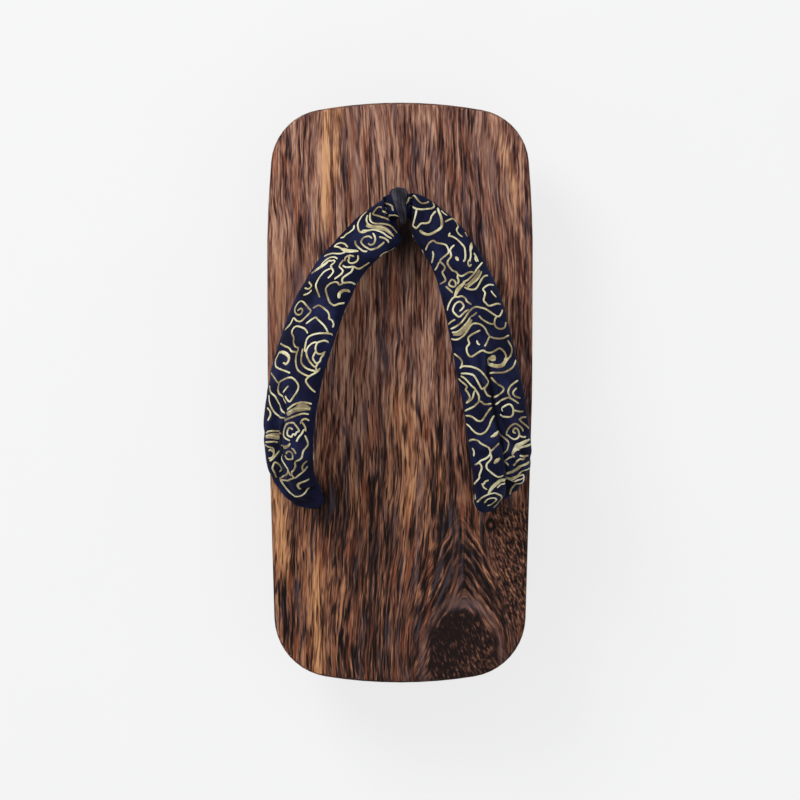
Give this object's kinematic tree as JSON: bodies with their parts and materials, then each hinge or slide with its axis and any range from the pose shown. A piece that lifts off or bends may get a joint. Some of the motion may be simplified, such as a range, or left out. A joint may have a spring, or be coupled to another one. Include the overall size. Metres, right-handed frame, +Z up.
{
  "type": "geta sandal",
  "caption": "Wooden geta sandal: a long board carved in one piece with its cross teeth, worn under a padded cloud-patterned cloth strap and a toe loop.",
  "frame": {"origin": "On the ground, below the middle of the board", "axes": "+Y points to the toe, +Z is up, +X is the right side seen from above with the toe ahead"},
  "size_m": [0.1223, 0.265, 0.0857],
  "materials": {
    "scorched_wood": "scorched and brushed paulownia, open grain, matt",
    "cloud_cloth": "navy woven cotton with a traditional cloud scroll in pale gold thread",
    "black_cloth": "near-black ribbed cloth, matt",
    "black_cord": "twisted black hemp cord"
  },
  "bodies": {
    "root": {"wooden_base": "scorched_wood", "strap": "cloud_cloth", "toe_loop": "black_cloth", "front_knot": "black_cord", "rear_cord_left": "black_cord", "rear_cord_right": "black_cord", "rear_knot": "black_cord"}
  },
  "joints": []
}
